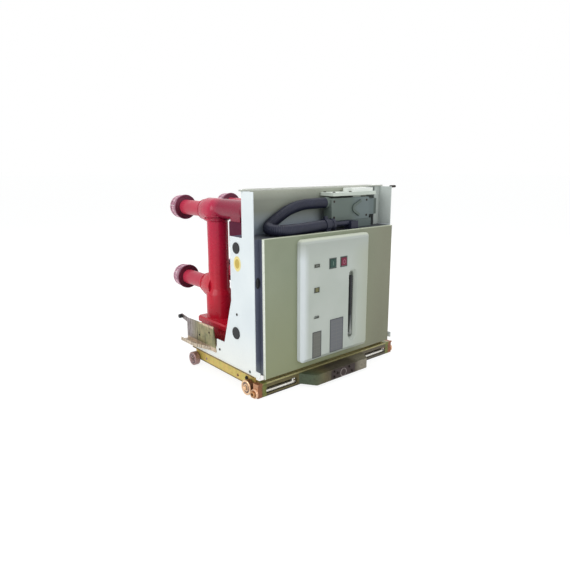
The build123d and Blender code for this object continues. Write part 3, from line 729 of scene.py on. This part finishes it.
def control_panel():
    dressed("control_bezel", edge_mm=1.2)
    for node in ("close_button", "open_button"):
        dressed(node, edge_mm=0.8)
        low, high = (corner.xz for corner in span(node))
        border(f"{node}_surround", low, high, 1, 4, (0, 1.4), "button_surround")
    dressed("lever_arm", "lever_steel", edge_mm=0.6)
    dressed("lever_grip", edge_mm=0.6)
    for node in ("position_indicator", "spring_indicator", "operation_counter"):
        dressed(node, "window_plastic", edge_mm=0.3)
        low, high = (corner.xz for corner in span(node))
        border(f"{node}_frame", low, high, 0, 1.6, (0, 0.9), "panel_plastic")


def indicator_flags():
    """What shows through each window: a flag, or a counter's drums with their numbers."""
    for node, finish_name in (("position_indicator", "state_flag"), ("spring_indicator", "spring_flag")):
        low, high = span(node)
        bm = bmesh.new()
        block_mesh(bm, (low.x + 9, low.y + 0.6, low.z + 3), (high.x - 3, low.y + 1.2, high.z - 3))
        solid(f"{node}_flag", bm, finish_name)
    low, high = span("operation_counter")
    digits, margin, gap = "30725", 2, 0.3
    wide, middle = (high.x - low.x - 2 * margin) / len(digits), (low.z + high.z) / 2
    for k, digit in enumerate(digits):
        left = low.x + margin + wide * k
        lathe(f"counter_drum_{k + 1}", [(0, 0), (3, 0), (3, wide - gap), (0, wide - gap)],
              at(left + gap / 2, low.y + 3.4, middle), RIGHT, "dark_line", steps=24)
        text = bpy.data.curves.new("counter_number", "FONT")
        text.body = digit
        text.size = 5.2 * MM
        text.extrude = 0.05 * MM
        text.align_x = text.align_y = "CENTER"
        mesh = plain_mesh(linked("counter_number", text))
        for v in mesh.vertices:
            x, z, y = v.co
            v.co = at(left + wide / 2, low.y + 0.35, middle) + Vector((x, -y, z))
        mesh.flip_normals()
        solid(f"counter_number_{k + 1}", mesh, "white_print")


def lever_ribs():
    """Finger ribs moulded across the front of the lever's grip."""
    low, high = span("lever_grip")
    bm = bmesh.new()
    bmesh.ops.create_cube(bm, size=1.0)
    for v in bm.verts:
        v.co = Vector((v.co.x * (high.x - low.x - 3), v.co.y * 2.2, v.co.z * 1.2)) * MM
    places = [((low.x + high.x) / 2, low.y, z, FRONT) for z in range(240, 340, 7)]
    set_out("lever_grip_ribs", places, bm, "black_plastic", body_of["lever_grip"])


def rating_plates():
    """Two blank plates stuck low on the panel, with ruled boxes only."""
    plate, line = PANEL_Y - 0.8, PANEL_Y - 0.9
    half, margin_x, margin_z = 0.35, 5, 6
    for name, (x0, x1), (z0, z1), count in (("small_plate", (-121, -82), (94, 183), 6),
                                            ("large_plate", (-42, 20), (96, 211), 9)):
        bm = bmesh.new()
        block_mesh(bm, (x0, plate, z0), (x1, PANEL_Y, z1))
        softened(solid(name, bm, "foil"), 0.3)
        rules = bmesh.new()
        for k in range(1, count):
            z = z0 + (z1 - z0) * k / count
            block_mesh(rules, (x0 + margin_x, line, z - half), (x1 - margin_x, plate, z + half))
        x = (x0 + x1) / 2
        block_mesh(rules, (x - half, line, z0 + margin_z), (x + half, plate, z1 - margin_z))
        solid(f"{name}_rules", rules, "pale_line")
        border(f"{name}_rim", (x0, z0), (x1, z1), -2.2, 0, (0.7, 1.0), "dark_line")


def button_marks():
    """The plain stroke and circle of an on and an off button."""
    for node in ("close_button", "open_button"):
        low, high = span(node)
        x, z = (low.x + high.x) / 2, (low.z + high.z) / 2
        bm = bmesh.new()
        if node == "close_button":
            block_mesh(bm, (x - 1.4, low.y - 0.4, z - 6.5), (x + 1.4, low.y, z + 6.5))
        else:
            lathe_mesh(bm, [(5.0, 0), (7.2, 0), (7.2, 0.4), (5.0, 0.4)], at(x, low.y, z), FRONT, 32)
        solid(f"{node}_mark", bm, "green_print" if node == "close_button" else "red_print", body_of[node])


# Poles, arms and contacts

def pole_castings():
    """The cast poles with a ring at each arm's neck, two ridges under each head and their foot bolts."""
    for side in POLES:
        dressed(f"pole_{side}", edge_mm=1.5, angle=30)
    dressed("pole_supports", edge_mm=1.5)
    dressed("arm_sleeves", edge_mm=0.8)
    dressed("contact_arms", edge_mm=0.6)
    necks = [(x, 462.5, z, BACK) for x in POLES.values() for z in ARM_Z.values()]
    set_out("neck_rings", necks, ring(29.4, 1.6, 40, 8), "dark_resin")
    heads = [(x, 383, z, UP) for x in POLES.values() for z in (526, 539)]
    set_out("head_ridges", heads, ring(43.6, 3, 64, 12), "red_epoxy", angle=60)
    places = [(x + dx, 442, 122, BACK) for x in POLES.values() for dx in (-30, 30)]
    set_out("pole_foot_bolts", places, hex_head(12, 6, 2), "steel", Spin=TURN)


def contact_fingers():
    """Tulip contacts: the drawing's sprung fingers, with a garter spring in each of their two grooves."""
    for side in POLES:
        for level in ARM_Z:
            dressed(f"{level}_contact_{side}", edge_mm=0.4)
    grooves_y = (622, 641)
    springs = [(x, y, z, BACK) for x in POLES.values() for z in ARM_Z.values() for y in grooves_y]
    set_out("contact_garter_springs", springs, ring(2.0, 0.45), "spring_wire", tree=garter_springs,
            angle=60, Radius=41.6 * MM, Count=84)


# Truck

def truck():
    for node in ("truck_plate", "truck_sides", "truck_rail_rear", "guide_bars", "axles", "screw_nut",
                 "crossbeam", "drive_housing", "shutter_ramp_left", "shutter_ramp_right"):
        dressed(node, edge_mm=0.7)
    dressed("lead_screw", "screw_steel", edge_mm=0.4)
    dressed("ramp_buffers", edge_mm=1.2)
    for side in SIDES:
        dressed(f"grip_{side}", "grip_zinc", edge_mm=0.5)
        for end in WHEEL_Y:
            dressed(f"wheel_{end}_{side}", edge_mm=0.5)
    rail = span("truck_sides")[1].x
    set_out("truck_side_bolts", both_sides(rail, (84, 44)), hex_head(9, 4, 1.2), "dark_steel", Spin=TURN)
    rivets = both_sides(rail, (135, 37), (330, 37))
    set_out("truck_side_rivets", rivets, pan_head(4.5, 2.2), "copper_zinc", Spin=TURN)
    ends = both_sides(span("axles")[1].x, *((y, AXLE_Z) for y in WHEEL_Y.values()))
    set_out("axle_nuts", ends, hex_head(11, 3.5, 0.8), "copper_zinc", Spin=TURN)


def tongue_collars():
    """The bright pressed collar that each grip's tongue slides through at the beam's end."""
    end, tongue_y, tongue_z = span("crossbeam")[1].x, 18, 17
    profile = [(10.6, 0), (15.2, 0), (15.2, 5.5), (14.2, 7), (12.6, 7), (11.6, 5), (10.6, 5)]
    for side, sign in SIDES.items():
        lathe(f"tongue_collar_{side}", profile, at(sign * end, tongue_y, tongue_z), (sign, 0, 0),
              "collar_copper", "crossbeam")


def wheel_bearings():
    """The bright race and dark seal that show in the face of each wheel, at the bottom of its dish."""
    dish = 3
    seal = [(13.4, 0), (16.9, 0), (16.9, 1.2), (13.4, 1.2)]
    race = [(14.4, 1.2), (15.9, 1.2), (15.7, 2.1), (14.6, 2.1)]
    for side, sign in SIDES.items():
        for end, y in WHEEL_Y.items():
            face = span(f"wheel_{end}_{side}")[1 if sign > 0 else 0].x
            centre = at(face - sign * dish, y, AXLE_Z)
            body = body_of[f"wheel_{end}_{side}"]
            lathe(f"wheel_seal_{end}_{side}", seal, centre, (sign, 0, 0), "dark_steel", body)
            lathe(f"wheel_race_{end}_{side}", race, centre, (sign, 0, 0), "spring_wire", body)


def racking_drive():
    """The crank socket's plate with its bolts and ring."""
    nose, screw_z = span("drive_housing")[0].y, 24
    front = nose - 0.9
    bm = bmesh.new()
    block_mesh(bm, (-56, front, 11), (58, nose, 42))
    softened(solid("crank_plate", bm, "bearing_plate", "crossbeam"), 0.4)
    rim = [(12.0, 0), (15.0, 0), (15.0, 1.6), (14.4, 2.2), (12.6, 2.2), (12.0, 1.6)]
    lathe("crank_ring", rim, at(0, nose, screw_z), FRONT, "ring_steel", "crossbeam")
    places = [(x, front, z, FRONT) for x, z in ((-42, 18), (-42, 36), (-26, 27), (30, 36), (44, 18))]
    set_out("crank_plate_bolts", places, hex_head(6.5, 3, 0.9), "dark_steel", "crossbeam", Spin=TURN)


def ramp_marks():
    """Two small screw heads in the upright sheet of each shutter ramp."""
    sheet_x = 319
    screws = both_sides(sheet_x, (286, 148), (352, 124))
    set_out("ramp_screws", screws, pan_head(3.6, 1.6), "dark_steel", Spin=TURN)


# Control hose with its plug

HOSE_DIAMETER = 36 * MM
HOSE_ROUTE = [
    (14, 37, 518.5), (-28, 37, 518.5), (-72, 32, 516.6), (-138, 27, 515.4), (-202, 25.5, 515.4),
    (-225, 61.5, 516), (-207, 96.5, 521.5), (-171, 98, 543.5), (-124, 94, 571), (-70, 87, 586),
    (-26, 80, 588), (26, 80, 588),
]


def route_points(route):
    """Points of the smooth line that the route's control points shape."""
    curve = bpy.data.curves.new("hose_line", "CURVE")
    curve.dimensions = "3D"
    spline = curve.splines.new("NURBS")
    spline.points.add(len(route) - 1)
    for point, place in zip(spline.points, route):
        point.co = (*at(*place), 1.0)
    spline.order_u = 3
    spline.use_endpoint_u = True
    spline.resolution_u = 24
    return [v.co.copy() for v in plain_mesh(linked("hose_line", curve)).vertices]


def evenly(points, step):
    """The same line with points a fixed distance apart."""
    lengths = [0.0]
    for a, b in zip(points, points[1:]):
        lengths.append(lengths[-1] + (b - a).length)
    count = max(2, round(lengths[-1] / step))
    result, k = [], 0
    for n in range(count + 1):
        target = lengths[-1] * n / count
        while k < len(points) - 2 and lengths[k + 1] < target:
            k += 1
        share = (target - lengths[k]) / max(lengths[k + 1] - lengths[k], 1e-9)
        result.append(points[k].lerp(points[k + 1], min(max(share, 0), 1)))
    return result, lengths[-1]


def control_hose():
    """Corrugated conduit: rounded ribs 5 mm apart along the line and 1.2 mm deep."""
    pitch, steps_per_rib, sides, half_depth = 5 * MM, 8, 36, 0.6 * MM
    line, length = evenly(route_points(HOSE_ROUTE), pitch / steps_per_rib)
    bm = bmesh.new()
    across = Vector((0, 0, 1))
    rings = []
    for k, point in enumerate(line):
        ahead = (line[min(k + 1, len(line) - 1)] - line[max(k - 1, 0)]).normalized()
        across = (across - ahead * across.dot(ahead)).normalized()
        other = ahead.cross(across)
        wave = math.cos(TURN * k / steps_per_rib)
        radius = HOSE_DIAMETER / 2 - half_depth + half_depth * math.copysign(abs(wave) ** 0.6, wave)
        rings.append([bm.verts.new(point + (across * math.cos(a) + other * math.sin(a)) * radius)
                      for a in (TURN * s / sides for s in range(sides))])
    for first, second in zip(rings, rings[1:]):
        for s in range(sides):
            after = (s + 1) % sides
            bm.faces.new((first[s], first[after], second[after], second[s]))
    bm.faces.new(rings[0])
    bm.faces.new(rings[-1])
    hose = solid("control_hose_finished", bm, "hose_plastic", ROOT, ["control_hose"])
    smooth_by_angle(hose.data, 60)


def control_plug():
    dressed("hose_gland", "hose_plastic", edge_mm=1.0)
    dressed("hose_clip", "hose_plastic", edge_mm=0.8)
    dressed("control_plug", edge_mm=1.2)
    dressed("plug_holder", "holder_plastic", edge_mm=1.0)
    dressed("plug_latch", "latch_steel", edge_mm=1.0)
    face_y, lid_z = 54, 622
    front = [(x, face_y, z, FRONT) for x in (48, 212) for z in (592, 538)]
    set_out("plug_screws", front, pan_head(4, 1.8), "dark_steel", Spin=TURN)
    lid = [(x, y, lid_z, UP) for x in (52, 132) for y in (60, 105)]
    set_out("plug_lid_screws", lid, pan_head(5, 3), "dark_steel", Spin=TURN)


# Studio

def studio():
    world = bpy.data.worlds.new("pale_studio")
    bpy.context.scene.world = world
    world.use_nodes = True
    tree = world.node_tree
    tree.nodes.clear()
    ambient = add_node(tree, "ShaderNodeBackground", Color=linear("EEF2F6"), Strength=0.62)
    backdrop = add_node(tree, "ShaderNodeBackground", Color=(1, 1, 1, 1), Strength=1.0)
    both = add_node(tree, "ShaderNodeMixShader", i0=seen_directly(tree), i1=ambient.outputs[0],
                    i2=backdrop.outputs[0])
    out = tree.nodes.new("ShaderNodeOutputWorld")
    tree.links.new(both.outputs[0], out.inputs[0])

    floor_mesh = bpy.data.meshes.new("studio_floor")
    reach = 40
    floor_mesh.from_pydata([(-reach, -reach, 0), (reach, -reach, 0), (reach, reach, 0), (-reach, reach, 0)],
                           [], [(0, 1, 2, 3)])
    floor = linked("studio_floor", floor_mesh)
    material, tree, shader, _ = new_material("pale_studio_floor")
    shader.inputs["Base Color"].default_value = linear("F4F4F0")
    shader.inputs["Roughness"].default_value = 0.9
    glow = add_node(tree, "ShaderNodeEmission", Color=(1, 1, 1, 1), Strength=1.14)
    seen = add_node(tree, "ShaderNodeMath", {"operation": "MULTIPLY"}, i0=seen_directly(tree), i1=0.76)
    mixed = add_node(tree, "ShaderNodeMixShader", i0=seen.outputs[0], i1=shader.outputs[0],
                     i2=glow.outputs[0])
    out = next(n for n in tree.nodes if n.type == "OUTPUT_MATERIAL")
    tree.links.new(mixed.outputs[0], out.inputs[0])
    floor_mesh.materials.append(material)


def seen_directly(tree):
    """1 for what the camera, a reflection or a view through a window meets, and 0 for lighting."""
    rays = add_node(tree, "ShaderNodeLightPath").outputs
    fac = rays["Is Camera Ray"]
    for kind in ("Is Glossy Ray", "Is Transmission Ray"):
        fac = add_node(tree, "ShaderNodeMath", {"operation": "MAXIMUM"}, i0=fac, i1=rays[kind]).outputs[0]
    return fac


def lamp(name, place, size, power):
    """A round soft box of a size in metres and a power in watts, aimed at the middle of the breaker."""
    light = bpy.data.lights.new(name, "AREA")
    light.shape = "DISK"
    light.size = size
    light.energy = power
    holder = linked(name, light)
    holder.location = place
    aim = Vector((0, 0, 0.3))
    holder.rotation_euler = (aim - Vector(place)).to_track_quat("-Z", "Y").to_euler()


def lights():
    lamp("key_left", (-2.8, -0.3, 1.9), 2.4, 40)
    lamp("front_fill", (0.4, -3.0, 1.6), 2.2, 22)
    lamp("top_soft", (0.2, 0.2, 3.0), 2.2, 26)
    lamp("rear_right", (2.4, 2.2, 1.6), 1.8, 26)


bpy.context.scene.view_settings.view_transform = "Standard"
camera()
control_hose()
studio()
lights()
sheet_frame()
recess_grommets()
stickers()
control_panel()
indicator_flags()
lever_ribs()
rating_plates()
button_marks()
pole_castings()
contact_fingers()
truck()
tongue_collars()
wheel_bearings()
racking_drive()
ramp_marks()
control_plug()

bpy.context.view_layer.update()
